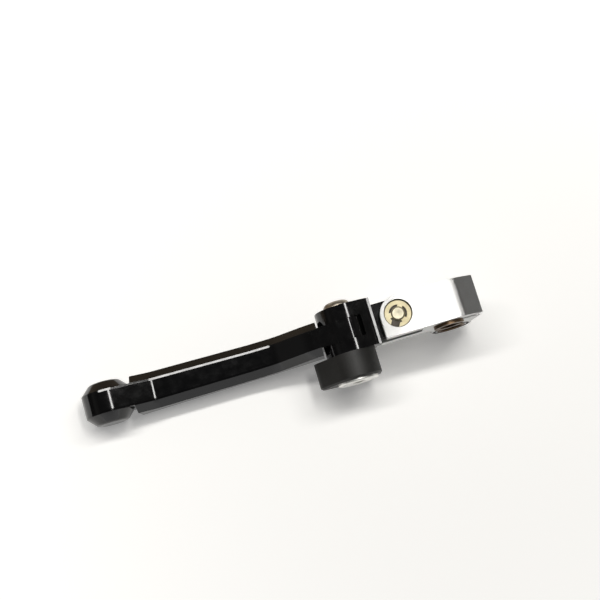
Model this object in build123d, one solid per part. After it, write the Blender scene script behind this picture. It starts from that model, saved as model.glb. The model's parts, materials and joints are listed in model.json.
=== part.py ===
from build123d import *
import os
from math import asin, atan2, cos, degrees, hypot, radians, sin, tan

# Folding motocross clutch lever: a black anodised blade hinged in a black clevis knuckle,
# and the knuckle hinged in a bare aluminium base that turns on the perch bolt.
# The lever's own frame: origin in the middle of the perch pivot bore, +X towards the perch end,
# +Y along the pivot bore, +Z out of the finger side. Millimetres.

# ---- Base: the arm between perch bolt, cable nipple and swivel pin
BASE_TOP = 7.8
BASE_BOTTOM = -9.0
BASE_FRONT = 30.0
BASE_END = ((2.0, 30.0), (5.3, 28.5), (12.1, 22.8), (12.6, 20.8), (12.1, 17.5), (9.1, 2.6))
BASE_BACK = ((0.0, 0.0), (-8.6, 4.0), (-11.0, 10.5))
BOSS_R = 9.5
PIVOT_BORE_R = 5.03
PIVOT_BUSH_R = 6.5
BUSH_PROUD = 0.3
SEAL_R_IN, SEAL_R_OUT, SEAL_DEPTH, SEAL_PROUD = 7.2, 8.5, 1.2, 0.2
NIPPLE_X, NIPPLE_Z = -3.0, 21.0
NIPPLE_R, NIPPLE_BUSH_R, NIPPLE_FLANGE_R = 4.1, 5.3, 6.6
NIPPLE_TOP = 3.0
NIPPLE_FLANGE = 1.5
CABLE_SLOT = 2.4
CABLE_TOP = -2.0
CABLE_REACH = 14.0

# ---- Swivel: the pin along Z that lets the knuckle swing upwards
PIN_X = -23.1
PIN_R = 3.0
CHEEK_IN_FRONT, CHEEK_IN_REAR = 24.4, 17.2
CHEEK_REAR = 10.5
CHEEK_R_FRONT, CHEEK_R_REAR = 7.65, 11.5
SLOT_END = -14.6
TONGUE_FRONT, TONGUE_REAR, TONGUE_R = 23.9, 17.7, 7.6
CLIP_BORE_R, CLIP_BORE_DEPTH = 6.05, 2.6
CLIP_R, CLIP_R_IN, CLIP_T, CLIP_GROOVE_R = 5.65, 3.9, 0.7, 2.5
CLIP_MOUTH, CLIP_MOUTH_W, CLIP_TOOTH_W = 240.0, 3.6, 2.2
CLIP_LIFT = 0.5
WAVE_R, WAVE_T = 5.5, 0.45
PIN_HEAD_R, PIN_HEAD_T = 4.6, 1.8
PIN_SINK, PIN_TIP_CHAMFER = 0.8, 0.6
SWIVEL_BUSH_R = 4.0
THRUST_R, THRUST_GAP = 6.4, 0.05
RUN = 0.04
LOOSE = 0.1

# ---- Fold: the bolt along Y that lets the blade fold forwards
FOLD_X, FOLD_Z = -47.0, 17.5
EAR_TOP, EAR_IN, EAR_BOTTOM = 11.0, 4.6, -9.6
EAR_R = 10.2
CREST_X, CREST_Z, CREST_R = -44.5, 17.6, 10.4
HEEL_X, HEEL_Z = -57.3, 7.6
SHOULDER_X, SHOULDER_Z, SHOULDER_R = -35.0, 24.2, 1.0
LEDGE_X, LEDGE_Z, LEDGE_RISE = -33.0, 24.4, 0.1
CHEEK_CLEAR = 0.4
WEB_SEAT_R = 11.5
HORN_X = -38.4
TONGUE_ROOT = -35.6
BLADE_TONGUE_R, BLADE_CREST_R = 10.2, 11.1
BLADE_TONGUE_HALF = 4.45
BOLT_R = 3.0
BOLT_HEAD_R, BOLT_HEAD_T, BOLT_SOCKET = 6.0, 3.1, 4.0
HEAD_RIM, SOCKET_FLOOR, BOLT_SHORT = 0.5, 0.7, 0.4
WASHER_R, WASHER_T = 6.6, 0.8
FOLD_BUSH_R, FOLD_FLANGE_R, FOLD_FLANGE_T, FOLD_BUSH_L = 4.0, 5.0, 0.8, 3.7

# ---- Return spring and its housing under the lower ear
HOUSING_BOTTOM = -21.2
HOUSING_R = 11.0
HOUSING_CHAMFER = 0.8
LOBE_X, LOBE_Z, LOBE_R = -59.1, 15.5, 4.5
CAVITY_R = 7.8
CAVITY_END = -19.3
NUT_R, NUT_TOP, NUT_BOTTOM, NUT_CHAMFER = 9.0, -20.3, -22.3, 0.3
SPANNER_X, SPANNER_R, SPANNER_DEPTH = 6.3, 0.9, 1.2
SEAT_T, SEAT_GAP = 0.4, 0.2
SPOOL_R = 4.5
WIRE_R, COIL_R, COIL_PITCH, COIL_TURNS = 0.8, 6.3, 1.75, 3.75
COIL_START = -18.0
LEG_LENGTH, LEG_TOP = 9.0, -1.6
LEG_ROOM, LEG_SWING = 0.4, 12.0
DOWEL_X, DOWEL_Z, DOWEL_R = -56.3, 15.5, 1.0
DOWEL_UP, DOWEL_DOWN = 3.0, 5.0

# ---- Blade: chamfered bar with a round knob at its tip
BAR_END, BAR_ROOT = -141.9, -58.1
BAR_HALF_END, BAR_HALF_ROOT = 8.3, 7.5
BAR_CHAMFER_FRONT, BAR_CHAMFER_REAR = 3.3, 1.8
KNOB_X, KNOB_Z, KNOB_R, KNOB_HALF = -153.8, 16.7, 10.8, 9.2
KNOB_CHAMFER, KNOB_RIM_ROUND = 4.2, 2.5
NECK_HALF = 4.9
FACE_SLOPE = 25.7
FACE_BEND_X = -133.2
FACE_LOW = (-90.0, 15.2)
RAMP_FOOT, RAMP_TOP = (-79.0, 15.9), (-63.5, 23.6)
RAMP_END = (-47.0, 27.69)
BEND_ROUND, FOOT_ROUND, TOP_ROUND = 8.0, 14.0, 30.0
PALM_BEND, PALM_ROOT = (-79.0, 6.4), (-58.1, 8.2)
TONGUE_HEEL = (-48.0, 9.5)

# The lever lies on its back on the knob and the pivot boss, so the finished assembly
# is turned about the pivot axis until both touch one level plane.
LIE = degrees(atan2(KNOB_Z, -KNOB_X) + asin((BOSS_R - KNOB_R) / hypot(KNOB_X, KNOB_Z)))
LAY = Rot(0, -LIE, 0)


def slab(sketch, y_low, y_high):
    """A sketch drawn in X and Z, as thick as the span in Y."""
    return extrude(Plane.XZ.offset(-y_high) * sketch, y_high - y_low)


def layer(sketch, z_low, z_high):
    """A sketch drawn in X and Y, as thick as the span in Z."""
    return extrude(Pos(0, 0, z_low) * sketch, z_high - z_low)


def box_sketch(low_a, high_a, low_b, high_b):
    return Pos((low_a + high_a) / 2, (low_b + high_b) / 2) * Rectangle(high_a - low_a, high_b - low_b)


def disc(x, y, radius):
    return Pos(x, y) * Circle(radius)


def ring(x, y, outer, inner):
    return disc(x, y, outer) - disc(x, y, inner)


def outline(*points):
    return make_face(Polyline(*points, close=True))


def hull(x1, z1, r1, x2, z2, r2):
    """Two discs and the flat sides that touch both."""
    return make_hull(disc(x1, z1, r1).edges() + disc(x2, z2, r2).edges())


# ---------------------------------------------------------------- base and perch pivot

def cheek_plan(radius):
    """Square at the bottom corner, round about the pin at the top corner."""
    lower = box_sketch(PIN_X - radius, SLOT_END + 1, BASE_BOTTOM, 0)
    upper = box_sketch(PIN_X, SLOT_END + 1, 0, BASE_TOP)
    round_end = disc(PIN_X, 0, radius) & box_sketch(PIN_X - radius, PIN_X, 0, BASE_TOP)
    return lower + upper + round_end


def base_profile():
    arm = outline((SLOT_END, BASE_FRONT), *BASE_END, *BASE_BACK, (SLOT_END, CHEEK_REAR))
    return arm + disc(0, 0, BOSS_R)


def base():
    body = slab(base_profile(), BASE_BOTTOM, BASE_TOP)
    body += layer(cheek_plan(CHEEK_R_FRONT), CHEEK_IN_FRONT, BASE_FRONT)
    body += layer(cheek_plan(CHEEK_R_REAR), CHEEK_REAR, CHEEK_IN_REAR)
    body -= layer(disc(PIN_X, 0, PIN_R), CHEEK_REAR, BASE_FRONT)
    body -= layer(disc(PIN_X, 0, CLIP_BORE_R), BASE_FRONT - CLIP_BORE_DEPTH, BASE_FRONT)
    body -= layer(disc(PIN_X, 0, PIN_HEAD_R), CHEEK_REAR, CHEEK_REAR + PIN_HEAD_T)
    body -= slab(disc(0, 0, PIVOT_BUSH_R), BASE_BOTTOM, BASE_TOP)
    for low, high in ((BASE_BOTTOM, BASE_BOTTOM + SEAL_DEPTH), (BASE_TOP - SEAL_DEPTH, BASE_TOP)):
        body -= slab(ring(0, 0, SEAL_R_OUT, SEAL_R_IN), low, high)
    body -= slab(disc(NIPPLE_X, NIPPLE_Z, NIPPLE_BUSH_R), BASE_BOTTOM, NIPPLE_TOP)
    body -= cable_slot(BASE_BOTTOM)
    return body


def cable_slot(y_low):
    """The cable drops in from below and may swing inwards as the lever is pulled."""
    half = CABLE_SLOT / 2
    fan = outline(
        (NIPPLE_X, NIPPLE_Z + half),
        (CABLE_REACH, NIPPLE_Z + half),
        (CABLE_REACH, NIPPLE_Z - 3 * half),
        (NIPPLE_X, NIPPLE_Z - half),
    )
    return slab(fan, y_low, CABLE_TOP)


def pivot_bush():
    return slab(ring(0, 0, PIVOT_BUSH_R, PIVOT_BORE_R), BASE_BOTTOM - BUSH_PROUD, BASE_TOP + BUSH_PROUD)


def pivot_seals():
    lower = slab(ring(0, 0, SEAL_R_OUT, SEAL_R_IN), BASE_BOTTOM - SEAL_PROUD, BASE_BOTTOM + SEAL_DEPTH)
    upper = slab(ring(0, 0, SEAL_R_OUT, SEAL_R_IN), BASE_TOP - SEAL_DEPTH, BASE_TOP + SEAL_PROUD)
    return Compound([lower, upper])


def nipple_bush():
    low = BASE_BOTTOM - NIPPLE_FLANGE
    sleeve = slab(ring(NIPPLE_X, NIPPLE_Z, NIPPLE_BUSH_R, NIPPLE_R), BASE_BOTTOM, NIPPLE_TOP)
    flange = slab(ring(NIPPLE_X, NIPPLE_Z, NIPPLE_FLANGE_R, NIPPLE_R), low, BASE_BOTTOM)
    return sleeve + flange - cable_slot(low)


# ---------------------------------------------------------------- swivel pin

def swivel_pin():
    clip_low = BASE_FRONT - CLIP_BORE_DEPTH + CLIP_LIFT
    pin = layer(disc(PIN_X, 0, PIN_R), CHEEK_REAR, BASE_FRONT - PIN_SINK)
    pin = chamfer(pin.edges().group_by(Axis.Z)[-1], PIN_TIP_CHAMFER)
    pin += layer(disc(PIN_X, 0, PIN_HEAD_R), CHEEK_REAR, CHEEK_REAR + PIN_HEAD_T)
    return pin - layer(ring(PIN_X, 0, PIN_R + 1, CLIP_GROOVE_R), clip_low, clip_low + CLIP_T)


def swivel_clip():
    """Push-on E clip: an open ring with three teeth that reach into the pin's groove."""
    clip_low = BASE_FRONT - CLIP_BORE_DEPTH + CLIP_LIFT
    body = ring(0, 0, CLIP_R, CLIP_R_IN)
    tooth = box_sketch(CLIP_GROOVE_R - 0.3, CLIP_R_IN + 0.7, -CLIP_TOOTH_W / 2, CLIP_TOOTH_W / 2)
    for angle in (CLIP_MOUTH - 60, CLIP_MOUTH + 60, CLIP_MOUTH + 180):
        body += Rot(0, 0, angle) * tooth
    mouth = box_sketch(CLIP_GROOVE_R - 0.7, CLIP_R + 1, -CLIP_MOUTH_W / 2, CLIP_MOUTH_W / 2)
    body -= Rot(0, 0, CLIP_MOUTH) * mouth
    body -= disc(0, 0, CLIP_GROOVE_R)
    return Pos(PIN_X, 0, 0) * layer(body, clip_low, clip_low + CLIP_T)


def swivel_wave_washer():
    floor = BASE_FRONT - CLIP_BORE_DEPTH
    return layer(ring(PIN_X, 0, WAVE_R, PIN_R + LOOSE), floor, floor + WAVE_T)


def swivel_bush():
    return layer(ring(PIN_X, 0, SWIVEL_BUSH_R, PIN_R + RUN), TONGUE_REAR, TONGUE_FRONT)


def swivel_washers():
    """Two thin bearing washers, one on each side of the tongue."""
    plan = ring(PIN_X, 0, THRUST_R, PIN_R + LOOSE)
    front = layer(plan, TONGUE_FRONT, CHEEK_IN_FRONT - THRUST_GAP)
    rear = layer(plan, CHEEK_IN_REAR + THRUST_GAP, TONGUE_REAR)
    return Compound([front, rear])


# ---------------------------------------------------------------- knuckle

def ear_profile():
    profile = hull(FOLD_X, FOLD_Z, EAR_R, CREST_X, CREST_Z, CREST_R)
    profile += hull(CREST_X, CREST_Z, CREST_R, SHOULDER_X, SHOULDER_Z, SHOULDER_R)
    profile += box_sketch(HEEL_X, FOLD_X, HEEL_Z, FOLD_Z)
    profile += outline(
        (CREST_X, CHEEK_IN_REAR),
        (LEDGE_X, CHEEK_IN_REAR),
        (LEDGE_X, LEDGE_Z),
        (SHOULDER_X, LEDGE_Z + LEDGE_RISE),
        (CREST_X, LEDGE_Z + LEDGE_RISE),
    )
    clear_cheek = box_sketch(PIN_X - CHEEK_R_REAR - CHEEK_CLEAR, PIN_X, 0, CHEEK_IN_REAR + CHEEK_CLEAR)
    return profile - clear_cheek


def knuckle():
    ears = slab(ear_profile(), EAR_IN, EAR_TOP) + slab(ear_profile(), EAR_BOTTOM, -EAR_IN)
    web = (ear_profile() & box_sketch(HORN_X, PIN_X, 0, BASE_FRONT)) - disc(FOLD_X, FOLD_Z, WEB_SEAT_R)
    body = ears + slab(web, -EAR_IN, EAR_IN)
    tongue = box_sketch(TONGUE_ROOT, PIN_X, -TONGUE_R, TONGUE_R) + disc(PIN_X, 0, TONGUE_R)
    body += layer(tongue, TONGUE_REAR, TONGUE_FRONT)
    body -= layer(disc(PIN_X, 0, SWIVEL_BUSH_R), TONGUE_REAR, TONGUE_FRONT)
    body -= slab(disc(FOLD_X, FOLD_Z, BOLT_R), EAR_BOTTOM, EAR_TOP)
    body -= slab(disc(FOLD_X, FOLD_Z, WASHER_R), EAR_TOP - WASHER_T, EAR_TOP)
    body -= leg_slot()
    body -= slab(disc(DOWEL_X, DOWEL_Z, DOWEL_R), EAR_BOTTOM, EAR_BOTTOM + DOWEL_UP)
    return body


def leg_slot():
    """Curved slot in the lower ear for the spring leg that follows the blade."""
    half = WIRE_R + LEG_ROOM
    path = ring(FOLD_X, FOLD_Z, COIL_R + half, COIL_R - half)
    wedge = box_sketch(FOLD_X - LEG_SWING, FOLD_X, FOLD_Z - half, FOLD_Z + LEG_SWING)
    wedge += box_sketch(FOLD_X, FOLD_X + half, FOLD_Z, FOLD_Z + LEG_SWING)
    return slab(path & wedge, EAR_BOTTOM, -EAR_IN)


# ---------------------------------------------------------------- fold bolt and spring pack

def fold_bolt():
    head = slab(disc(FOLD_X, FOLD_Z, BOLT_HEAD_R), EAR_TOP, EAR_TOP + BOLT_HEAD_T)
    head = fillet(head.edges().group_by(Axis.Y)[-1], BOLT_HEAD_T - HEAD_RIM)
    shank = slab(disc(FOLD_X, FOLD_Z, BOLT_R), NUT_BOTTOM + BOLT_SHORT, EAR_TOP)
    hexagon = Pos(FOLD_X, FOLD_Z) * RegularPolygon(BOLT_SOCKET / 2, 6, major_radius=False)
    return head + shank - slab(hexagon, EAR_TOP + SOCKET_FLOOR, EAR_TOP + BOLT_HEAD_T)


def fold_bolt_washer():
    return slab(ring(FOLD_X, FOLD_Z, WASHER_R, BOLT_R + LOOSE), EAR_TOP - WASHER_T, EAR_TOP)


def fold_bush(side):
    """Flanged bush in the blade's tongue; side is +1 for the upper one, -1 for the lower one."""
    face = BLADE_TONGUE_HALF + LOOSE
    body = fold_ring(FOLD_FLANGE_R, side * face, side * (face - FOLD_FLANGE_T))
    return body + fold_ring(FOLD_BUSH_R, side * face, side * (face - FOLD_BUSH_L))


def fold_ring(radius, y_a, y_b):
    return slab(ring(FOLD_X, FOLD_Z, radius, BOLT_R + RUN), min(y_a, y_b), max(y_a, y_b))


def housing_profile():
    return hull(FOLD_X, FOLD_Z, HOUSING_R, LOBE_X, LOBE_Z, LOBE_R)


def spring_housing():
    body = slab(housing_profile(), HOUSING_BOTTOM, EAR_BOTTOM)
    body = chamfer(body.edges().group_by(Axis.Y)[0], HOUSING_CHAMFER)
    body -= slab(disc(FOLD_X, FOLD_Z, CAVITY_R), CAVITY_END, EAR_BOTTOM)
    body -= slab(disc(FOLD_X, FOLD_Z, SPOOL_R), NUT_TOP, CAVITY_END)
    body -= slab(disc(FOLD_X, FOLD_Z, NUT_R), HOUSING_BOTTOM, NUT_TOP)
    leg_z = FOLD_Z - COIL_R
    leg_pocket = box_sketch(FOLD_X - LEG_LENGTH, FOLD_X, leg_z - WIRE_R, leg_z + WIRE_R)
    body -= slab(leg_pocket, COIL_START - WIRE_R, EAR_BOTTOM)
    body -= slab(disc(DOWEL_X, DOWEL_Z, DOWEL_R), EAR_BOTTOM - DOWEL_DOWN, EAR_BOTTOM)
    return body


def spring_spool():
    return slab(ring(FOLD_X, FOLD_Z, SPOOL_R, BOLT_R + RUN), NUT_TOP, EAR_BOTTOM)


def return_spring():
    """Torsion spring: a coil round the spool, one leg in the housing, one up into the blade."""
    path = Helix(COIL_PITCH, COIL_PITCH * COIL_TURNS, COIL_R, lefthand=True)
    coil = sweep(Plane(path @ 0, z_dir=path % 0) * Circle(WIRE_R), path=path)
    stand = Plane((FOLD_X, COIL_START, FOLD_Z), x_dir=(0, 0, -1), z_dir=(0, 1, 0))
    top = COIL_START + COIL_PITCH * COIL_TURNS
    wire = Circle(WIRE_R)
    fixed_leg = extrude(Plane((FOLD_X, COIL_START, FOLD_Z - COIL_R), z_dir=(-1, 0, 0)) * wire, LEG_LENGTH)
    blade_leg = extrude(Plane((FOLD_X - COIL_R, top, FOLD_Z), z_dir=(0, 1, 0)) * wire, LEG_TOP - top)
    elbows = Pos(FOLD_X - COIL_R, top, FOLD_Z) * Sphere(WIRE_R)
    elbows += Pos(FOLD_X, COIL_START, FOLD_Z - COIL_R) * Sphere(WIRE_R)
    return stand * coil + fixed_leg + blade_leg + elbows


def spring_seat_washer():
    seat = ring(FOLD_X, FOLD_Z, CAVITY_R - SEAT_GAP, SPOOL_R + LOOSE)
    return slab(seat, CAVITY_END, CAVITY_END + SEAT_T)


def cover_nut():
    body = slab(disc(FOLD_X, FOLD_Z, NUT_R), NUT_BOTTOM, NUT_TOP)
    body = chamfer(body.edges().group_by(Axis.Y)[0], NUT_CHAMFER)
    body -= slab(disc(FOLD_X, FOLD_Z, BOLT_R), NUT_BOTTOM, NUT_TOP)
    for side in (-1, 1):
        hole = disc(FOLD_X + side * SPANNER_X, FOLD_Z, SPANNER_R)
        body -= slab(hole, NUT_BOTTOM, NUT_BOTTOM + SPANNER_DEPTH)
    return body


def housing_dowel():
    return slab(disc(DOWEL_X, DOWEL_Z, DOWEL_R), EAR_BOTTOM - DOWEL_DOWN, EAR_BOTTOM + DOWEL_UP)


# ---------------------------------------------------------------- blade

def side_profile():
    """Side outline of the whole blade, from the middle of the knob to the hinge."""
    slope = radians(FACE_SLOPE)
    leave = (KNOB_X + KNOB_R * sin(slope), KNOB_Z + KNOB_R * cos(slope))
    bend = (FACE_BEND_X, leave[1] - (FACE_BEND_X - leave[0]) * tan(slope))
    palm_end = (KNOB_X, KNOB_Z - KNOB_R)
    side = outline(
        (KNOB_X, KNOB_Z), leave, bend, FACE_LOW, RAMP_FOOT, RAMP_TOP, RAMP_END,
        TONGUE_HEEL, PALM_ROOT, PALM_BEND, palm_end,
    )
    for corner, radius in ((bend, BEND_ROUND), (RAMP_FOOT, FOOT_ROUND), (RAMP_TOP, TOP_ROUND)):
        side = fillet(side.vertices().sort_by_distance((*corner, 0))[0], radius)
    return side


def bar():
    side = side_profile()
    plan = outline(
        (BAR_END, -BAR_HALF_END),
        (BAR_ROOT, -BAR_HALF_ROOT),
        (BAR_ROOT, BAR_HALF_ROOT),
        (BAR_END, BAR_HALF_END),
    )
    body = slab(side, -BAR_HALF_END, BAR_HALF_END) & layer(plan, 0, BASE_FRONT)
    body = chamfer(long_edges(body, front=True), BAR_CHAMFER_FRONT)
    body = chamfer(long_edges(body, front=False), BAR_CHAMFER_REAR)
    return body + slab(side & box_sketch(KNOB_X, BAR_END, 0, BASE_FRONT), -NECK_HALF, NECK_HALF)


def long_edges(body, front):
    """The bar's lengthwise edges on its finger side or on its palm side."""
    middle = (FACE_LOW[1] + PALM_BEND[1]) / 2
    return [
        edge for edge in body.edges()
        if abs(edge.center().Y) > NECK_HALF
        and BAR_END < edge.center().X - 0.1 < BAR_ROOT - 0.2
        and (edge.center().Z > middle) == front
    ]


def knob():
    """Round end knob, turned about its own cross axis: a chamfered wheel with soft outer rims."""
    shoulder = KNOB_HALF - KNOB_CHAMFER
    rim = KNOB_R - KNOB_CHAMFER
    face = outline(
        (0, -KNOB_HALF), (rim, -KNOB_HALF), (KNOB_R, -shoulder),
        (KNOB_R, shoulder), (rim, KNOB_HALF), (0, KNOB_HALF),
    )
    for side in (-1, 1):
        corner = face.vertices().sort_by_distance((rim, side * KNOB_HALF, 0))[0]
        face = fillet(corner, KNOB_RIM_ROUND)
    return Pos(KNOB_X, 0, KNOB_Z) * revolve(face, Axis.Y)


def blade():
    tongue = side_profile() & box_sketch(BAR_ROOT, FOLD_X, 0, BASE_FRONT)
    tongue += disc(FOLD_X, FOLD_Z, BLADE_TONGUE_R)
    tongue += disc(CREST_X, CREST_Z, CREST_R) & disc(FOLD_X, FOLD_Z, BLADE_CREST_R)
    body = bar() + knob() + slab(tongue, -BLADE_TONGUE_HALF, BLADE_TONGUE_HALF)
    body -= slab(disc(FOLD_X, FOLD_Z, FOLD_BUSH_R), -BLADE_TONGUE_HALF, BLADE_TONGUE_HALF)
    recess = BLADE_TONGUE_HALF + LOOSE - FOLD_FLANGE_T
    for low, high in ((-BLADE_TONGUE_HALF, -recess), (recess, BLADE_TONGUE_HALF)):
        body -= slab(disc(FOLD_X, FOLD_Z, FOLD_FLANGE_R), low, high)
    return body - slab(disc(FOLD_X - COIL_R, FOLD_Z, WIRE_R), -BLADE_TONGUE_HALF, LEG_TOP)


NODES = {
    "base": base,
    "pivot_bush": pivot_bush,
    "pivot_seals": pivot_seals,
    "nipple_bush": nipple_bush,
    "swivel_pin": swivel_pin,
    "swivel_clip": swivel_clip,
    "swivel_wave_washer": swivel_wave_washer,
    "swivel_bush": swivel_bush,
    "swivel_washers": swivel_washers,
    "knuckle": knuckle,
    "fold_bolt": fold_bolt,
    "fold_bolt_washer": fold_bolt_washer,
    "fold_bush_upper": lambda: fold_bush(1),
    "fold_bush_lower": lambda: fold_bush(-1),
    "spring_housing": spring_housing,
    "spring_spool": spring_spool,
    "return_spring": return_spring,
    "spring_seat_washer": spring_seat_washer,
    "cover_nut": cover_nut,
    "housing_dowel": housing_dowel,
    "blade": blade,
}

os.makedirs("parts", exist_ok=True)
for name, make in NODES.items():
    export_step(LAY * make(), f"parts/{name}.step")
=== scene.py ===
import json
import math

import bmesh
import bpy
from mathutils import Matrix, Vector


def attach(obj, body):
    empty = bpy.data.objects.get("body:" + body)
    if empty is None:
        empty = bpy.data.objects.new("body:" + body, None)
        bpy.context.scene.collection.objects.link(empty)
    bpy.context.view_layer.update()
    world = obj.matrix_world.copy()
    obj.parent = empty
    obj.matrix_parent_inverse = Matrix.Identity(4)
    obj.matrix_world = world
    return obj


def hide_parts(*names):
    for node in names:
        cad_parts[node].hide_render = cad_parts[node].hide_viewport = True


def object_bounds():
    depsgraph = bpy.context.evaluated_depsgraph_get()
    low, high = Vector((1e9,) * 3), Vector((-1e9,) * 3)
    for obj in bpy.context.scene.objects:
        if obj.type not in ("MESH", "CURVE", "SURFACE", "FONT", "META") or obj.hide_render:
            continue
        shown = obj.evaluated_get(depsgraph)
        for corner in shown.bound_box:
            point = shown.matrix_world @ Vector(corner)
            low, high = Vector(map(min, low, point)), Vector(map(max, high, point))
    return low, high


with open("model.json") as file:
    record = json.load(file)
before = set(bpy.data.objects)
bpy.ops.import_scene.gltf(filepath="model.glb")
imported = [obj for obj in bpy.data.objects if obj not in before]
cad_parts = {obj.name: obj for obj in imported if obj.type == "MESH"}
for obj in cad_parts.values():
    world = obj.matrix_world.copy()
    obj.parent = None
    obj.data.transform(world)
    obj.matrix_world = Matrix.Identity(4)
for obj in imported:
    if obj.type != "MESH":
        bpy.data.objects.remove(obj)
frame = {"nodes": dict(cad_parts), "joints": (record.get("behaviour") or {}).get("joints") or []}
cad_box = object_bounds()

# ---------------------------------------------------------------- camera
# The lever lies on its back on the end knob and the pivot boss, so it leans a
# few degrees, and the swivel's axis gives that lean. Sizes below are drawn in
# the lever's own frame and laid down by the same turn.

joints = {joint["name"]: joint for joint in frame["joints"]}
swivel_axis = joints["swivel"]["axis"]
lean = math.atan2(swivel_axis[0], -swivel_axis[2])
laid_down = Matrix.Rotation(-lean, 4, "Y")

camera_aim = Vector((-0.0613, 0.0176, 0.0280))
camera_distance = 0.470
camera_tip = math.radians(10.1)
camera_roll = math.radians(16.5)

lens = bpy.data.cameras.new("studio_camera")
lens.lens = 66.0
lens.sensor_width = 36.0
lens.clip_start = 0.01
camera = bpy.data.objects.new("studio_camera", lens)
bpy.context.collection.objects.link(camera)
camera.matrix_world = (
    Matrix.Translation(laid_down @ camera_aim)
    @ laid_down
    @ Matrix.Rotation(camera_tip, 4, "X")
    @ Matrix.Rotation(-camera_roll, 4, "Z")
    @ Matrix.Translation((0.0, 0.0, camera_distance))
)
bpy.context.scene.camera = camera

# ---------------------------------------------------------------- studio
# A white table under two lamps, in a dim room with one pale side. The short
# strip draws the thin lines across the crests; the long tube draws the line
# along the blade's edge and throws the soft shadow.


def lamp(name, direction, distance, width, depth, power, colour):
    """An oblong lamp that faces the lever, its width along the lever's X."""
    light = bpy.data.lights.new(name, "AREA")
    light.shape = "RECTANGLE"
    light.size = width
    light.size_y = depth
    light.energy = power
    light.color = colour
    holder = bpy.data.objects.new(name, light)
    bpy.context.collection.objects.link(holder)
    away = Vector(direction).normalized()
    side = Vector((1.0, 0.0, 0.0)) - away.x * away
    side.normalize()
    turn = Matrix((side, away.cross(side), away)).transposed().to_4x4()
    place = Vector((-0.06, 0.0, 0.01)) + distance * away
    holder.matrix_world = laid_down @ Matrix.Translation(place) @ turn


lamp(
    "strip_light", (0.245, 0.136, 0.96), distance=0.60, width=0.07, depth=0.20,
    power=0.85, colour=(1.0, 0.99, 0.97),
)
lamp(
    "long_tube", (0.127, 0.343, 0.930), distance=0.90, width=1.17, depth=0.07,
    power=5.4, colour=(1.0, 0.985, 0.96),
)


def combined(tree, operation, first, second):
    """Two values made into one by the named operation of a Math node."""
    maths = tree.nodes.new("ShaderNodeMath")
    maths.operation = operation
    tree.links.new(first, maths.inputs[0])
    tree.links.new(second, maths.inputs[1])
    return maths.outputs[0]


def mirrored(tree, path):
    """1 for the rays by which metal and clear plastic show their surroundings."""
    return combined(
        tree, "MAXIMUM", path.outputs["Is Glossy Ray"], path.outputs["Is Transmission Ray"]
    )


table_radius = 4.0
bm = bmesh.new()
bmesh.ops.create_circle(bm, cap_ends=True, segments=96, radius=table_radius)
bmesh.ops.translate(bm, verts=bm.verts, vec=(0.0, 0.0, cad_box[0][2]))
table_mesh = bpy.data.meshes.new("table_top")
bm.to_mesh(table_mesh)
bm.free()
table_top = bpy.data.objects.new("table_top", table_mesh)
bpy.context.collection.objects.link(table_top)

# The table is white to the camera and in reflections only, and glows a little
# more with the distance from the lever, where the lamps no longer reach it.
paper = bpy.data.materials.new("white_table")
paper.use_nodes = True
nodes, links = paper.node_tree.nodes, paper.node_tree.links
nodes.clear()
path = nodes.new("ShaderNodeLightPath")
seen = combined(
    paper.node_tree, "MAXIMUM", path.outputs["Is Camera Ray"], mirrored(paper.node_tree, path)
)
bleached = nodes.new("ShaderNodeMix")
bleached.data_type = "RGBA"
bleached.inputs["A"].default_value = (0.80, 0.79, 0.76, 1.0)
bleached.inputs["B"].default_value = (1.0, 0.995, 0.975, 1.0)
matt = nodes.new("ShaderNodeBsdfDiffuse")
glow = nodes.new("ShaderNodeEmission")
spot = nodes.new("ShaderNodeTexCoord")
out_from_lever = nodes.new("ShaderNodeVectorMath")
out_from_lever.operation = "LENGTH"
far_off = nodes.new("ShaderNodeMapRange")
far_off.interpolation_type = "SMOOTHSTEP"
for socket, value in (("From Min", 0.05), ("From Max", 0.60), ("To Min", 0.19), ("To Max", 0.98)):
    far_off.inputs[socket].default_value = value
both = nodes.new("ShaderNodeAddShader")
out = nodes.new("ShaderNodeOutputMaterial")
links.new(seen, bleached.inputs["Factor"])
links.new(bleached.outputs["Result"], matt.inputs["Color"])
links.new(spot.outputs["Object"], out_from_lever.inputs[0])
links.new(out_from_lever.outputs["Value"], far_off.inputs["Value"])
lift = combined(paper.node_tree, "MULTIPLY", seen, far_off.outputs["Result"])
links.new(lift, glow.inputs["Strength"])
links.new(matt.outputs[0], both.inputs[0])
links.new(glow.outputs[0], both.inputs[1])
links.new(both.outputs[0], out.inputs["Surface"])
table_mesh.materials.append(paper)

# A brown card stands behind the blade. Only reflections show it: it gives the
# black chamfers that look up and back their warm brown.
card_middle = Vector((-0.1425, 0.032, 0.020))
card_width = 0.165
card_height = 0.060
bm = bmesh.new()
bmesh.ops.create_grid(bm, x_segments=1, y_segments=1, size=0.5)
bmesh.ops.scale(bm, verts=bm.verts, vec=(card_width, card_height, 1.0))
bmesh.ops.rotate(bm, verts=bm.verts, matrix=Matrix.Rotation(math.radians(90.0), 3, "X"))
bmesh.ops.translate(bm, verts=bm.verts, vec=card_middle)
card_mesh = bpy.data.meshes.new("brown_card")
bm.to_mesh(card_mesh)
bm.free()
brown_card = bpy.data.objects.new("brown_card", card_mesh)
bpy.context.collection.objects.link(brown_card)
brown_card.visible_camera = False
brown_card.visible_diffuse = False
brown_card.visible_shadow = False

brown = bpy.data.materials.new("brown_card")
brown.use_nodes = True
nodes, links = brown.node_tree.nodes, brown.node_tree.links
nodes.clear()
card_tone = nodes.new("ShaderNodeEmission")
card_tone.inputs["Color"].default_value = (0.27, 0.215, 0.155, 1.0)
out = nodes.new("ShaderNodeOutputMaterial")
links.new(card_tone.outputs[0], out.inputs["Surface"])
card_mesh.materials.append(brown)

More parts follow.
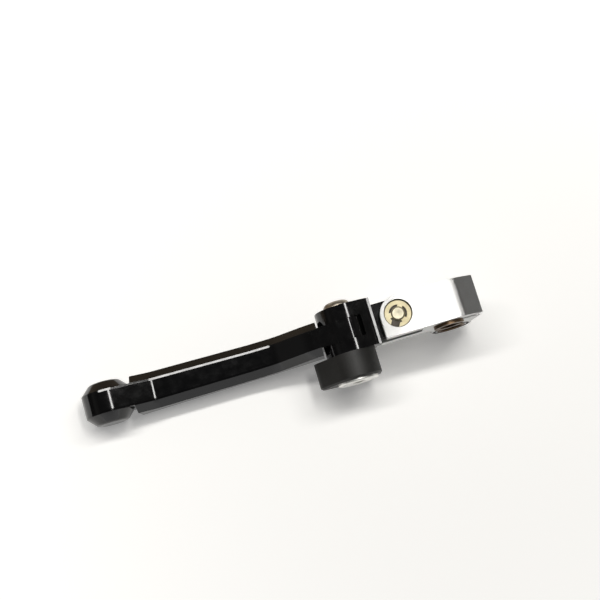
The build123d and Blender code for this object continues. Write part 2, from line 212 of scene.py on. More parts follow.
# The room's walls are palest at eye height. The camera sees plain white in
# their place, and so do reflections that look low down to the pale side.
room = bpy.data.worlds.new("room")
bpy.context.scene.world = room
room.use_nodes = True
nodes, links = room.node_tree.nodes, room.node_tree.links
nodes.clear()
where = nodes.new("ShaderNodeTexCoord")
split = nodes.new("ShaderNodeSeparateXYZ")
height = nodes.new("ShaderNodeValToRGB")
height.color_ramp.elements[0].position = 0.0
height.color_ramp.elements[0].color = (0.045, 0.044, 0.042, 1.0)
height.color_ramp.elements[1].position = 1.0
height.color_ramp.elements[1].color = (0.045, 0.045, 0.046, 1.0)
for position, grey in ((0.32, 0.055), (0.50, 0.16), (0.75, 0.07)):
    height.color_ramp.elements.new(position).color = (grey, grey * 0.98, grey * 0.94, 1.0)
facing = nodes.new("ShaderNodeMapRange")
low_down = nodes.new("ShaderNodeMapRange")
for span, start, end in ((facing, -0.20, -0.85), (low_down, 0.50, 0.05)):
    span.interpolation_type = "SMOOTHSTEP"
    span.inputs["From Min"].default_value = start
    span.inputs["From Max"].default_value = end
walls = nodes.new("ShaderNodeBackground")
backdrop = nodes.new("ShaderNodeBackground")
backdrop.inputs["Color"].default_value = (1.0, 1.0, 1.0, 1.0)
backdrop.inputs["Strength"].default_value = 1.0
path = nodes.new("ShaderNodeLightPath")
choose = nodes.new("ShaderNodeMixShader")
out = nodes.new("ShaderNodeOutputWorld")
links.new(where.outputs["Generated"], split.inputs[0])
links.new(split.outputs["Z"], height.inputs["Fac"])
links.new(split.outputs["Y"], facing.inputs["Value"])
links.new(split.outputs["Z"], low_down.inputs["Value"])
links.new(height.outputs["Color"], walls.inputs["Color"])
tree = room.node_tree
pale = combined(tree, "MULTIPLY", facing.outputs["Result"], low_down.outputs["Result"])
shown = combined(tree, "MULTIPLY", mirrored(tree, path), pale)
white_out = combined(tree, "MAXIMUM", path.outputs["Is Camera Ray"], shown)
links.new(white_out, choose.inputs["Fac"])
links.new(walls.outputs[0], choose.inputs[1])
links.new(backdrop.outputs[0], choose.inputs[2])
links.new(choose.outputs[0], out.inputs["Surface"])

bpy.context.scene.view_settings.view_transform = "Standard"

# ---------------------------------------------------------------- base arm
# The arm between perch bolt and swivel: milled from aluminium plate, left bare
# and brushed along its length, with its edges broken by hand. Its two cheeks
# hold the knuckle's tongue, and a bore in the outer one sinks the pin's clip.

least_corner = math.radians(25.0)
crease = math.radians(34.0)


def merged_copy(node):
    """The CAD node's mesh as one skin: doubles merged and flat faces whole again."""
    bm = bmesh.new()
    bm.from_mesh(frame["nodes"][node].data)
    bmesh.ops.remove_doubles(bm, verts=bm.verts, dist=2e-6)
    bmesh.ops.dissolve_limit(
        bm, angle_limit=math.radians(0.2), use_dissolve_boundaries=False,
        verts=bm.verts, edges=bm.edges,
    )
    return bm


def break_edges(bm, width, steps=2):
    """Round the sharp corners and mark the new faces as rubbed edges.

    The width is held back to what the smallest face of the piece leaves room for.
    """
    rubbed = bm.faces.layers.float.new("rubbed")
    corners = [
        edge for edge in bm.edges
        if len(edge.link_faces) == 2 and edge.calc_face_angle(0.0) > least_corner
    ]
    done = bmesh.ops.bevel(
        bm, geom=corners, offset=width, offset_type="OFFSET", segments=steps, profile=0.5,
        affect="EDGES", material=-1, clamp_overlap=True, loop_slide=True,
    )
    for face in done["faces"]:
        face[rubbed] = 1.0


def finished(bm, name, material, body, slot, *stands_for):
    """Make the mesh a smooth-shaded piece that rides on its body."""
    mesh = bpy.data.meshes.new(name)
    bm.to_mesh(mesh)
    bm.free()
    mesh.materials.append(material)
    for face in mesh.polygons:
        face.use_smooth = True
    mesh.set_sharp_from_angle(angle=crease)
    if "crisp" in mesh.attributes:
        for edge, mark in zip(mesh.edges, mesh.attributes["crisp"].data):
            edge.use_edge_sharp = edge.use_edge_sharp or mark.value > 0
    piece = bpy.data.objects.new(name, mesh)
    bpy.context.collection.objects.link(piece)
    even = piece.modifiers.new("even_shading", "WEIGHTED_NORMAL")
    even.keep_sharp = True
    even.weight = 100
    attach(piece, body)
    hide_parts(*stands_for)


def blank_finish(name, colour, metallic, roughness, specular=0.5):
    """A plain material, before its grain, wear and relief are wired up."""
    finish = bpy.data.materials.new(name)
    finish.use_nodes = True
    shader = finish.node_tree.nodes["Principled BSDF"]
    shader.inputs["Base Color"].default_value = (*colour, 1.0)
    shader.inputs["Metallic"].default_value = metallic
    shader.inputs["Roughness"].default_value = roughness
    shader.inputs["Specular IOR Level"].default_value = specular
    return finish


def own_place(finish, centre=(0.0, 0.0, 0.0), stretch=(1.0, 1.0, 1.0)):
    """Where a point is in the lever's own frame, measured from the centre."""
    nodes, links = finish.node_tree.nodes, finish.node_tree.links
    own = nodes.new("ShaderNodeTexCoord")
    upright = nodes.new("ShaderNodeMapping")
    upright.inputs["Rotation"].default_value = (0.0, lean, 0.0)
    upright.inputs["Location"].default_value = [-c for c in centre]
    drawn = nodes.new("ShaderNodeMapping")
    drawn.inputs["Scale"].default_value = stretch
    links.new(own.outputs["Object"], upright.inputs["Vector"])
    links.new(upright.outputs["Vector"], drawn.inputs["Vector"])
    return drawn.outputs["Vector"]


def grain(finish, per_metre, stretch=(1.0, 1.0, 1.0), detail=4.0, rough=0.55):
    """Noise in the metal or plastic, drawn out along an axis where its stretch is below 1."""
    nodes, links = finish.node_tree.nodes, finish.node_tree.links
    noise = nodes.new("ShaderNodeTexNoise")
    noise.inputs["Scale"].default_value = per_metre
    noise.inputs["Detail"].default_value = detail
    noise.inputs["Roughness"].default_value = rough
    links.new(own_place(finish, stretch=stretch), noise.inputs["Vector"])
    return noise.outputs["Fac"]


def spread(finish, value, low, high, start=0.3, end=0.7):
    """Map a value from one range to another, clamped."""
    nodes, links = finish.node_tree.nodes, finish.node_tree.links
    span = nodes.new("ShaderNodeMapRange")
    for socket, number in (("From Min", start), ("From Max", end), ("To Min", low), ("To Max", high)):
        span.inputs[socket].default_value = number
    links.new(value, span.inputs["Value"])
    return span.outputs["Result"]


def on_edges(finish):
    """1 on the broken edges, where hands and tools rub the finish, and 0 elsewhere."""
    mark = finish.node_tree.nodes.new("ShaderNodeAttribute")
    mark.attribute_name = "rubbed"
    return mark.outputs["Fac"]


def two_tone(finish, value, first, second):
    """A colour that goes from the first to the second with the value; either may be a link."""
    nodes, links = finish.node_tree.nodes, finish.node_tree.links
    mix = nodes.new("ShaderNodeMix")
    mix.data_type = "RGBA"
    for socket, colour in (("A", first), ("B", second)):
        if isinstance(colour, tuple):
            mix.inputs[socket].default_value = (*colour, 1.0)
        else:
            links.new(colour, mix.inputs[socket])
    links.new(value, mix.inputs["Factor"])
    return mix.outputs["Result"]


def relief(finish, value, depth, under=None):
    """A bump of the given depth in metres, laid over another where one is given."""
    nodes, links = finish.node_tree.nodes, finish.node_tree.links
    bump = nodes.new("ShaderNodeBump")
    bump.inputs["Strength"].default_value = 1.0
    bump.inputs["Distance"].default_value = depth
    links.new(value, bump.inputs["Height"])
    if under:
        links.new(under, bump.inputs["Normal"])
    return bump.outputs["Normal"]


def wire_up(finish, **sockets):
    """Link values to the shader's sockets, their names written with underscores."""
    shader = finish.node_tree.nodes["Principled BSDF"]
    for socket, value in sockets.items():
        finish.node_tree.links.new(value, shader.inputs[socket.replace("_", " ")])


brushed_aluminium = blank_finish(
    "brushed_aluminium", (0.80, 0.80, 0.79), metallic=1.0, roughness=0.38
)
brush = grain(brushed_aluminium, per_metre=7000.0, stretch=(0.03, 1.0, 1.0), detail=3.0)
handling = grain(brushed_aluminium, per_metre=170.0)
bare = two_tone(
    brushed_aluminium, spread(brushed_aluminium, brush, 0.0, 1.0),
    (0.64, 0.64, 0.63), (0.76, 0.76, 0.75),
)
smudged = two_tone(
    brushed_aluminium, spread(brushed_aluminium, handling, 0.0, 0.35, start=0.45, end=0.75),
    bare, (0.56, 0.55, 0.53),
)


def inside_bore(finish, centre, radius, depth):
    """1 inside an upright bore from `depth` below its mouth, and 0 outside it."""
    nodes, links = finish.node_tree.nodes, finish.node_tree.links
    split = nodes.new("ShaderNodeSeparateXYZ")
    flat = nodes.new("ShaderNodeCombineXYZ")
    away = nodes.new("ShaderNodeVectorMath")
    away.operation = "LENGTH"
    links.new(own_place(finish, centre), split.inputs[0])
    links.new(split.outputs["X"], flat.inputs["X"])
    links.new(split.outputs["Y"], flat.inputs["Y"])
    links.new(flat.outputs[0], away.inputs[0])
    within = spread(
        finish, away.outputs["Value"], 1.0, 0.0, start=radius, end=radius + 0.0001
    )
    sunk = spread(finish, split.outputs["Z"], 1.0, 0.0, start=-depth - 0.0003, end=-depth)
    return combined(finish.node_tree, "MULTIPLY", within, sunk)


bare_edges = two_tone(brushed_aluminium, on_edges(brushed_aluminium), smudged, (0.80, 0.80, 0.79))
swivel_centre = laid_down.inverted() @ Vector(joints["swivel"]["pos_m"])
cheek_top = 0.030
clip_bore_radius = 0.0062
# Below its top 0.2 mm the clip's bore is painted dark brown: painted shade in the recess round the
# clip.
painted_shade_depth = 0.0002
clip_bore_mouth = Vector((swivel_centre.x, 0.0, cheek_top))
painted_bore_shade = inside_bore(brushed_aluminium, clip_bore_mouth, clip_bore_radius, painted_shade_depth)

# The brushing runs along the arm, so it drags every highlight out across it.
across = brushed_aluminium.node_tree.nodes.new("ShaderNodeCombineXYZ")
across.inputs["Y"].default_value = 0.95
across.inputs["Z"].default_value = 0.30
brushed_aluminium.node_tree.nodes["Principled BSDF"].inputs["Anisotropic"].default_value = 1.0
wire_up(
    brushed_aluminium,
    # The base colour takes the painted shade inside the clip's bore.
    Base_Color=two_tone(brushed_aluminium, painted_bore_shade, bare_edges, (0.10, 0.08, 0.05)),
    Roughness=spread(brushed_aluminium, brush, 0.36, 0.45),
    Tangent=across.outputs[0],
    Normal=relief(
        brushed_aluminium, brush, depth=0.000003,
        under=relief(brushed_aluminium, handling, depth=0.000015),
    ),
)

# The lower edge of the facet at the arm's end lies a little higher than in the
# CAD, so that the facet is flatter.
sawn_end_start = 0.0115
facet_foot_low, facet_foot_high = 0.0222, 0.0234
sawn_end_lift = 0.0011
bm = merged_copy("base")
for vert in bm.verts:
    own = laid_down.inverted() @ vert.co
    if own.x > sawn_end_start and facet_foot_low < own.z < facet_foot_high:
        vert.co += laid_down @ Vector((0.0, 0.0, sawn_end_lift))
break_edges(bm, width=0.00022)
finished(bm, "base_arm", brushed_aluminium, "base", "bare_aluminium", "base")

# ---------------------------------------------------------------- perch pivot bush
# A plain bush of oil-filled sintered bronze, pressed into the arm and reamed
# for the perch bolt. It stands a little proud so that it alone rubs the perch.

mm = 0.001


def reach(node):
    """Lowest and highest corners of a CAD node in the lever's own frame, in millimetres."""
    stand_up = laid_down.inverted()
    own = [stand_up @ v.co / mm for v in frame["nodes"][node].data.vertices]
    low = Vector([min(p[i] for p in own) for i in range(3)])
    high = Vector([max(p[i] for p in own) for i in range(3)])
    return low, high


def turned(bm, outline, centre, along, closed=True, steps=72):
    """Spin an outline of (radius, height) points, in millimetres, about an axis."""
    verts = [bm.verts.new((radius, 0.0, height)) for radius, height in outline]
    edges = [bm.edges.new(pair) for pair in zip(verts, verts[1:])]
    if closed:
        edges.append(bm.edges.new((verts[-1], verts[0])))
    before = set(bm.verts) - set(verts)
    bmesh.ops.spin(
        bm, geom=verts + edges, axis=(0.0, 0.0, 1.0), cent=(0.0, 0.0, 0.0),
        angle=math.tau, steps=steps, use_merge=True,
    )
    skin = [v for v in bm.verts if v not in before]
    bmesh.ops.remove_doubles(bm, verts=skin, dist=1e-4)
    skin = [v for v in bm.verts if v not in before]
    turn = Matrix.Rotation(math.radians(-90.0), 4, "X") if along == "Y" else Matrix.Identity(4)
    bmesh.ops.transform(
        bm, verts=skin,
        matrix=laid_down @ Matrix.Scale(mm, 4) @ Matrix.Translation(centre) @ turn,
    )
    bmesh.ops.recalc_face_normals(bm, faces=bm.faces)


def ring_outline(inner, outer, low, high, soft):
    """Section of a ring with all four corners broken."""
    return (
        (inner + soft, low), (outer - soft, low), (outer, low + soft), (outer, high - soft),
        (outer - soft, high), (inner + soft, high), (inner, high - soft), (inner, low + soft),
    )


sintered_bronze = blank_finish("sintered_bronze", (0.40, 0.28, 0.17), metallic=1.0, roughness=0.42)
pores = grain(sintered_bronze, per_metre=5200.0, detail=2.0, rough=0.4)
oil = grain(sintered_bronze, per_metre=420.0)
oiled = two_tone(
    sintered_bronze, spread(sintered_bronze, oil, 0.0, 1.0),
    (0.105, 0.068, 0.040), (0.17, 0.115, 0.070),
)
wire_up(
    sintered_bronze,
    Base_Color=two_tone(
        sintered_bronze, spread(sintered_bronze, pores, 1.0, 0.0, start=0.30, end=0.42),
        oiled, (0.03, 0.019, 0.012),
    ),
    Roughness=spread(sintered_bronze, oil, 0.30, 0.50),
    Normal=relief(sintered_bronze, pores, depth=0.00001),
)

low, high = reach("pivot_bush")
perch_centre = (low + high) / 2
perch_centre.y = 0.0
perch_bore = 5.03
bm = bmesh.new()
section = ring_outline(perch_bore, (high.x - low.x) / 2, low.y, high.y, soft=0.3)
turned(bm, section, perch_centre, "Y")
finished(bm, "perch_pivot_bush", sintered_bronze, "base", "bronze", "pivot_bush")

# ---------------------------------------------------------------- perch pivot seals
# Two nitrile rings in grooves round the bush, one on each face of the arm. A
# raised lip on each wipes the perch's cheek and keeps the mud out.

nitrile = blank_finish(
    "black_nitrile", (0.014, 0.014, 0.0145), metallic=0.0, roughness=0.58, specular=0.35
)
bloom = grain(nitrile, per_metre=900.0)
wire_up(
    nitrile,
    Base_Color=two_tone(
        nitrile, spread(nitrile, bloom, 0.0, 1.0), (0.010, 0.010, 0.011), (0.028, 0.027, 0.027)
    ),
    Roughness=spread(nitrile, bloom, 0.50, 0.68),
    Normal=relief(nitrile, grain(nitrile, per_metre=6000.0), depth=0.000006),
)

low, high = reach("pivot_seals")
seal_inner, seal_outer, seal_depth, seal_sunk = 7.2, 8.5, 1.2, 0.1
lip_middle, lip_rise, lip_crest, lip_root = 7.85, 0.2, 0.1, 0.3
bm = bmesh.new()
for face, inward in ((low.y + lip_rise, 1.0), (high.y - lip_rise, -1.0)):
    lip_foot = face + seal_sunk * inward
    lip_top = face - lip_rise * inward
    root = face + seal_depth * inward
    outline = (
        (seal_inner, root), (seal_outer, root), (seal_outer, lip_foot),
        (lip_middle + lip_root, lip_foot), (lip_middle + lip_crest, lip_top),
        (lip_middle - lip_crest, lip_top), (lip_middle - lip_root, lip_foot),
        (seal_inner, lip_foot),
    )
    turned(bm, outline, perch_centre, "Y")
finished(bm, "perch_pivot_seals", nitrile, "base", "rubber", "pivot_seals")

# ---------------------------------------------------------------- cable nipple bush
# A flanged bronze bush pressed up into the arm from below. The cable's barrel
# nipple turns in it, and its slot lets the cable in.

bm = merged_copy("nipple_bush")
break_edges(bm, width=0.0002)
finished(bm, "cable_nipple_bush", sintered_bronze, "base", "bronze", "nipple_bush")

# ---------------------------------------------------------------- swivel pin
# A turned steel pin, bright zinc plated. Its head lies in the rear cheek, and
# its tip has a groove for the clip and a lead-in chamfer round a centre mark.


def turning_marks(finish, centre, along, per_metre):
    """Fine rings left by the turning tool about a piece's own axis."""
    nodes, links = finish.node_tree.nodes, finish.node_tree.links
    rings = nodes.new("ShaderNodeTexWave")
    rings.wave_type = "RINGS"
    rings.rings_direction = along
    rings.inputs["Scale"].default_value = per_metre
    rings.inputs["Distortion"].default_value = 0.6
    rings.inputs["Detail"].default_value = 2.0
    links.new(own_place(finish, centre), rings.inputs["Vector"])
    return rings.outputs["Fac"]


def turned_steel(name, centre, along, colour, smooth=0.18):
    """Plated steel with rings from the lathe; `smooth` is its lowest roughness."""
    finish = blank_finish(name, colour, metallic=1.0, roughness=0.24)
    rings = turning_marks(finish, centre, along, 1300.0)
    film = grain(finish, per_metre=500.0)
    dull = tuple(c * 0.80 for c in colour)
    wire_up(
        finish,
        Base_Color=two_tone(finish, spread(finish, film, 0.0, 1.0), dull, colour),
        Roughness=spread(finish, rings, smooth, smooth + 0.14, start=0.1, end=0.9),
        Normal=relief(finish, rings, depth=0.0000018),
    )
    return finish


low, high = reach("swivel_pin")
pin_centre = (low + high) / 2
pin_centre.z = 0.0
clip_low, clip_high = reach("swivel_clip")
pin_steel = turned_steel("zinc_plated_pin", pin_centre * mm, "Z", (0.62, 0.58, 0.44), smooth=0.48)
shank, head, head_height, head_corner = 3.0, 4.6, 1.8, 0.3
groove, burr, tip_chamfer = 2.5, 0.05, 0.6
head_mark, tip_mark, tip_mark_depth = 0.5, 0.55, 0.18
seat = low.z + head_height
outline = (
    (0.0, low.z + head_mark), (head_mark, low.z), (head - head_corner, low.z),
    (head, low.z + head_corner), (head, seat - 0.1), (head - 0.1, seat),
    (shank, seat), (shank, clip_low.z), (groove, clip_low.z),
    (groove, clip_high.z), (shank - burr, clip_high.z), (shank, clip_high.z + burr),
    (shank, high.z - tip_chamfer), (shank - tip_chamfer, high.z), (tip_mark, high.z),
    (0.0, high.z - tip_mark_depth),
)
bm = bmesh.new()
turned(bm, outline, pin_centre, "Z", closed=False)
finished(bm, "swivel_pin_turned", pin_steel, "base", "bright_steel", "swivel_pin")

# ---------------------------------------------------------------- swivel clip
# A push-on retaining ring stamped from spring steel and plated pale nickel. Its
# three teeth sit in the pin's groove, and its mouth points down to the left.

nickel = blank_finish("pale_nickel", (0.45, 0.41, 0.30), metallic=1.0, roughness=0.40)
stamped = grain(nickel, per_metre=2600.0)
warm = grain(nickel, per_metre=330.0)
wire_up(
    nickel,
    Base_Color=two_tone(
        nickel, spread(nickel, warm, 0.0, 1.0), (0.60, 0.53, 0.34), (0.72, 0.66, 0.46)
    ),
    Roughness=spread(nickel, stamped, 0.58, 0.70),
    Normal=relief(nickel, stamped, depth=0.000006),
)
bm = merged_copy("swivel_clip")
break_edges(bm, width=0.00012)
finished(bm, "swivel_pin_clip", nickel, "base", "clip_steel", "swivel_clip")

# ---------------------------------------------------------------- swivel wave washer
# A thin ring of spring steel, pressed into three waves. It loads the clip
# against the pin so that the knuckle doesn't rattle.

spring_temper = blank_finish("spring_steel", (0.30, 0.30, 0.31), metallic=1.0, roughness=0.34)
drawn_lines = grain(spring_temper, per_metre=3000.0)
temper = grain(spring_temper, per_metre=260.0)
wire_up(
    spring_temper,
    Base_Color=two_tone(
        spring_temper, spread(spring_temper, temper, 0.0, 1.0),
        (0.035, 0.030, 0.024), (0.075, 0.068, 0.058),
    ),
    Roughness=spread(spring_temper, drawn_lines, 0.44, 0.58),
    Normal=relief(spring_temper, drawn_lines, depth=0.000004),
)

low, high = reach("swivel_wave_washer")
loose_fit, strip_thickness, waves = 0.1, 0.22, 3
middle = (low.z + high.z) / 2
swing = (high.z - low.z - strip_thickness) / 2
outline = ring_outline(
    shank + loose_fit, (high.x - low.x) / 2,
    middle - strip_thickness / 2, middle + strip_thickness / 2, soft=0.05,
)
bm = bmesh.new()
turned(bm, outline, pin_centre, "Z")
axis_point = laid_down @ (pin_centre * mm)
upward = laid_down @ Vector((0.0, 0.0, 1.0))
for vert in bm.verts:
    arm = laid_down.inverted() @ (vert.co - axis_point)
    vert.co += upward * swing * mm * math.cos(waves * math.atan2(arm.y, arm.x))
finished(bm, "swivel_wave_ring", spring_temper, "base", "spring_steel", "swivel_wave_washer")

# ---------------------------------------------------------------- knuckle
# The clevis between base and blade: milled from aluminium bar and anodised
# gloss black. Two ears hold the blade's tongue on the fold bolt, and its own
# tongue turns on the swivel pin.

gloss_black = blank_finish(
    "gloss_black_anodised", (0.002, 0.002, 0.0022), metallic=0.0, roughness=0.11
)
haze = grain(gloss_black, per_metre=260.0)
scuffs = grain(gloss_black, per_metre=2200.0, detail=5.0)
worn = spread(gloss_black, scuffs, 0.1, 0.8, start=0.46, end=0.66)
bare_spots = combined(gloss_black.node_tree, "MULTIPLY", on_edges(gloss_black), worn)
cutter_lines = grain(gloss_black, per_metre=4200.0, stretch=(1.0, 0.04, 1.0), detail=2.0)
wire_up(
    gloss_black,
    Base_Color=two_tone(gloss_black, bare_spots, (0.002, 0.002, 0.0022), (0.12, 0.118, 0.112)),
    Roughness=spread(gloss_black, haze, 0.08, 0.15),
    Normal=relief(
        gloss_black, cutter_lines, depth=0.0000008,
        under=relief(gloss_black, scuffs, depth=0.0000006),
    ),
)

bm = merged_copy("knuckle")
break_edges(bm, width=0.00022)
finished(bm, "knuckle_clevis", gloss_black, "knuckle", "black_anodised", "knuckle")

# ---------------------------------------------------------------- swivel bush and thrust washers
# The knuckle's tongue turns on a bronze bush, between two thin washers of
# white bearing plastic that keep it off the base's cheeks.

low, high = reach("swivel_bush")
running_fit = 0.04
bm = bmesh.new()
section = ring_outline(shank + running_fit, (high.x - low.x) / 2, low.z, high.z, soft=0.2)
turned(bm, section, pin_centre, "Z")
finished(bm, "swivel_bush_ring", sintered_bronze, "knuckle", "bronze", "swivel_bush")

bearing_plastic = blank_finish(
    "white_bearing_plastic", (0.70, 0.69, 0.64), metallic=0.0, roughness=0.45
)
moulding = grain(bearing_plastic, per_metre=1500.0)
wire_up(
    bearing_plastic,
    Base_Color=two_tone(
        bearing_plastic, spread(bearing_plastic, moulding, 0.0, 1.0),
        (0.64, 0.63, 0.58), (0.74, 0.73, 0.69),
    ),
    Roughness=spread(bearing_plastic, moulding, 0.38, 0.52),
    Normal=relief(bearing_plastic, moulding, depth=0.000006),
)

tongue_low, tongue_high = low.z, high.z
low, high = reach("swivel_washers")
bm = bmesh.new()
for bottom, top in ((low.z, tongue_low), (tongue_high, high.z)):
    section = ring_outline(shank + loose_fit, (high.x - low.x) / 2, bottom, top, soft=0.08)
    turned(bm, section, pin_centre, "Z")
finished(bm, "swivel_thrust_washers", bearing_plastic, "knuckle", "bearing_plastic", "swivel_washers")

# ---------------------------------------------------------------- blade
# The long lever: milled from aluminium bar with wide chamfers, its finger face
# dished between knob and hinge, then anodised gloss black. The corner between
# face and chamfer is rolled over by a buffing wheel.

bar_root, palm_height = -58.2, 10.0
land_width, land_slope = 0.0009, math.radians(5.9)


def roll_front_corners(bm):
    """Ease down a narrow land along both sides of the finger face."""
    stand_up = laid_down.inverted()
    crisp = bm.edges.layers.int.new("crisp")
    face_up = []
    for face in bm.faces:
        own = stand_up @ face.calc_center_median() / mm
        normal = stand_up @ face.normal
        on_bar = own.x < bar_root and own.z > palm_height
        if on_bar and normal.z > 0.5 and abs(normal.y) < 0.05:
            face_up.append(face)
    lands = bmesh.ops.inset_region(
        bm, faces=face_up, thickness=land_width, depth=0.0,
        use_even_offset=True, use_boundary=True,
    )["faces"]
    kept_level = {v for f in face_up for v in f.verts}
    for face in face_up:
        for edge in face.edges:
            if sum(f in face_up for f in edge.link_faces) == 1:
                edge[crisp] = 1
    down = laid_down @ Vector((0.0, 0.0, -land_width * math.tan(land_slope)))
    for vert in {v for f in lands for v in f.verts} - kept_level:
        vert.co += down


bm = merged_copy("blade")
roll_front_corners(bm)
break_edges(bm, width=0.0002)
finished(bm, "blade_bar", gloss_black, "blade", "black_anodised", "blade")

# ---------------------------------------------------------------- fold bushes
# Two flanged bronze bushes pressed into the blade's tongue from its two sides.
# Their flanges rub the ears, and the fold bolt runs through both.

fold_centre = laid_down.inverted() @ Vector(joints["fold"]["pos_m"]) / mm
fold_centre.y = 0.0
bolt = 3.0
flange, flange_thickness, sleeve, lead_in = 5.0, 0.8, 4.0, 0.2
bush_bore = bolt + running_fit
for node, name, out in (
    ("fold_bush_upper", "fold_bush_high", 1.0),
    ("fold_bush_lower", "fold_bush_low", -1.0),
):
    low, high = reach(node)
    face = high.y if out > 0.0 else low.y
    tail = low.y if out > 0.0 else high.y
    collar = face - flange_thickness * out
    outline = (
        (bush_bore + lead_in, face), (flange - 0.1, face), (flange, face - 0.1 * out),
        (flange, collar), (sleeve, collar), (sleeve, tail + lead_in * out),
        (sleeve - lead_in, tail), (bush_bore, tail), (bush_bore, face - lead_in * out),
    )
    bm = bmesh.new()
    turned(bm, outline, fold_centre, "Y")
    finished(bm, name, sintered_bronze, "blade", "bronze", node)

# ---------------------------------------------------------------- fold bolt
# A button-head bolt with a hexagon socket, headed from steel wire and given a
# dull plating that has browned. It clamps washer, ears, spool and nut.

dull_plate = blank_finish("browned_plating", (0.33, 0.29, 0.235), metallic=1.0, roughness=0.36)
browning = grain(dull_plate, per_metre=700.0)
forging = grain(dull_plate, per_metre=3600.0)
wire_up(
    dull_plate,
    Base_Color=two_tone(
        dull_plate, spread(dull_plate, browning, 0.0, 1.0),
        (0.22, 0.185, 0.14), (0.40, 0.36, 0.30),
    ),
    Roughness=spread(dull_plate, forging, 0.30, 0.46),
    Normal=relief(dull_plate, forging, depth=0.000006),
)
bm = merged_copy("fold_bolt")
break_edges(bm, width=0.00012)
finished(bm, "fold_bolt_button", dull_plate, "knuckle", "plated_steel", "fold_bolt")

# ---------------------------------------------------------------- fold bolt washer
# A plain pressed washer that lies in a recess in the upper ear and spreads the
# bolt head's load.

low, high = reach("fold_bolt_washer")
bm = bmesh.new()
section = ring_outline(bolt + loose_fit, (high.x - low.x) / 2, low.y, high.y, soft=0.12)
turned(bm, section, fold_centre, "Y")
finished(bm, "fold_bolt_flat_washer", dull_plate, "knuckle", "plated_steel", "fold_bolt_washer")

# ---------------------------------------------------------------- spring housing
# A cup of black glass-filled nylon under the lower ear. It hides the return
# spring, and its lobe takes the dowel that stops it turning.

glassy_nylon = blank_finish(
    "moulded_black_nylon", (0.013, 0.0128, 0.012), metallic=0.0, roughness=0.46, specular=0.35
)
spark_texture = grain(glassy_nylon, per_metre=3400.0, detail=3.0, rough=0.6)
flow = grain(glassy_nylon, per_metre=210.0)
moulded_black = two_tone(
    glassy_nylon, spread(glassy_nylon, flow, 0.0, 1.0),
    (0.011, 0.0108, 0.010), (0.018, 0.0175, 0.0165),
)
wire_up(
    glassy_nylon,
    Base_Color=two_tone(
        glassy_nylon, on_edges(glassy_nylon), moulded_black, (0.024, 0.0235, 0.022)
    ),
    Roughness=spread(glassy_nylon, spark_texture, 0.40, 0.58),
    Normal=relief(glassy_nylon, spark_texture, depth=0.000022),
)
bm = merged_copy("spring_housing")
break_edges(bm, width=0.00035, steps=3)
finished(bm, "spring_housing_cup", glassy_nylon, "knuckle", "black_nylon", "spring_housing")

# ---------------------------------------------------------------- spool, seat washer and dowel
# Inside the cup the coil sits round a turned steel spool, on a washer of
# bearing plastic. A steel dowel pins the cup's lobe to the ear.

fold_steel = turned_steel("bright_turned_steel", fold_centre * mm, "Y", (0.74, 0.74, 0.73))
low, high = reach("spring_spool")
spool_radius = (high.x - low.x) / 2
bm = bmesh.new()
section = ring_outline(bolt + running_fit, spool_radius, low.y, high.y, soft=0.25)
turned(bm, section, fold_centre, "Y")
finished(bm, "spring_spool_tube", fold_steel, "knuckle", "bright_steel", "spring_spool")

low, high = reach("spring_seat_washer")
bm = bmesh.new()
section = ring_outline(spool_radius + loose_fit, (high.x - low.x) / 2, low.y, high.y, soft=0.08)
turned(bm, section, fold_centre, "Y")
finished(bm, "spring_seat_ring", bearing_plastic, "knuckle", "bearing_plastic", "spring_seat_washer")

low, high = reach("housing_dowel")
dowel_radius = (high.x - low.x) / 2
dowel_chamfer = 0.25
dowel_centre = (low + high) / 2
dowel_centre.y = 0.0
outline = (
    (0.0, low.y), (dowel_radius - dowel_chamfer, low.y), (dowel_radius, low.y + dowel_chamfer),
    (dowel_radius, high.y - dowel_chamfer), (dowel_radius - dowel_chamfer, high.y),
    (0.0, high.y),
)
bm = bmesh.new()
turned(bm, outline, dowel_centre, "Y", closed=False, steps=32)
finished(bm, "housing_dowel_pin", fold_steel, "knuckle", "bright_steel", "housing_dowel")

# ---------------------------------------------------------------- return spring
# A torsion spring of 1.6 mm wire, coiled round the spool. One end is a straight
# leg in the cup's pocket; the other turns up into the blade's tongue.


def only_edges(parts):
    return [part for part in parts if isinstance(part, bmesh.types.BMEdge)]


def push(bm, edges, vec):
    """Draw an open end of the wire out straight by the vector."""
    drawn = bmesh.ops.extrude_edge_only(bm, edges=edges)["geom"]
    ends = [part for part in drawn if isinstance(part, bmesh.types.BMVert)]
    bmesh.ops.translate(bm, verts=ends, vec=vec)


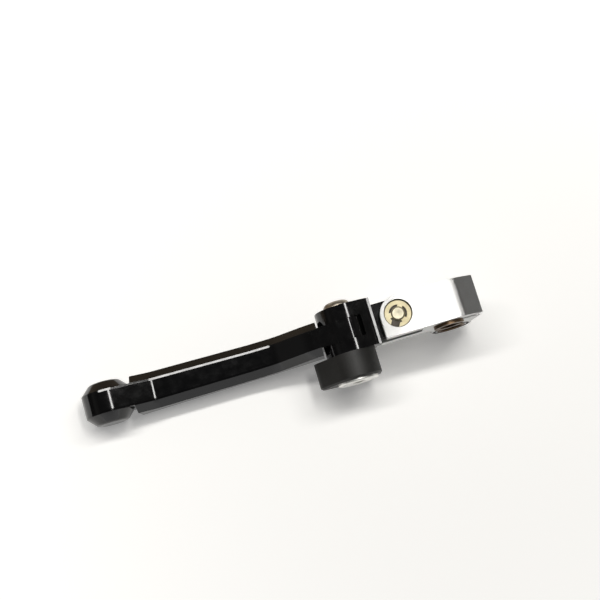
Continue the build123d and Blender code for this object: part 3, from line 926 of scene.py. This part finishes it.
wire_radius, coil_radius, coil_pitch, coil_turns = 0.8, 6.3, 1.75, 3.75
coil_start, leg_length, leg_top, elbow = -18.0, 9.0, -1.6, 0.9
coil_end = coil_start + coil_pitch * coil_turns
per_turn = 40
coil_steps = int(coil_turns * per_turn)
quarter_turn = math.radians(90.0)
bm = bmesh.new()
ring = bmesh.ops.create_circle(bm, segments=12, radius=wire_radius)["verts"]
bmesh.ops.transform(
    bm, verts=ring,
    matrix=Matrix.Translation((0.0, coil_radius, coil_start))
    @ Matrix.Rotation(quarter_turn, 4, "Y"),
)
first_ring = list({e for v in ring for e in v.link_edges})
coil = bmesh.ops.spin(
    bm, geom=ring + first_ring, axis=(0.0, 0.0, 1.0), cent=(0.0, 0.0, 0.0),
    dvec=(0.0, 0.0, coil_pitch / per_turn), angle=-math.tau * coil_turns, steps=coil_steps,
)
last_ring = only_edges(coil["geom_last"])
first_ring = [e for e in bm.edges if e.is_boundary and e not in last_ring]
push(bm, first_ring, (-leg_length, 0.0, 0.0))
last_verts = list({v for e in last_ring for v in e.verts})
turn_centre = Vector((-coil_radius, 0.0, coil_end + elbow))
bend = bmesh.ops.spin(
    bm, geom=last_verts + last_ring, axis=(1.0, 0.0, 0.0), cent=turn_centre,
    angle=quarter_turn, steps=6,
)
push(bm, only_edges(bend["geom_last"]), (0.0, 0.0, leg_top - coil_end - elbow))
bmesh.ops.holes_fill(bm, edges=[e for e in bm.edges if e.is_boundary], sides=0)
bmesh.ops.transform(
    bm, verts=bm.verts,
    matrix=laid_down @ Matrix.Scale(mm, 4) @ Matrix.Translation(fold_centre)
    @ Matrix.Rotation(-quarter_turn, 4, "X"),
)
bmesh.ops.recalc_face_normals(bm, faces=bm.faces)
finished(bm, "return_spring_coil", spring_temper, "knuckle", "spring_steel", "return_spring")

# ---------------------------------------------------------------- cover nut
# A round nut turned from steel and plated bright. It screws onto the fold bolt
# from below with a pin spanner and closes the spring cup.

low, high = reach("cover_nut")
nut_centre = (low + high) / 2
nut_steel = turned_steel("bright_zinc_nut", nut_centre * mm, "Y", (0.88, 0.87, 0.84), smooth=0.34)
bm = merged_copy("cover_nut")
break_edges(bm, width=0.00035, steps=3)
finished(bm, "cover_nut_disc", nut_steel, "knuckle", "bright_steel", "cover_nut")
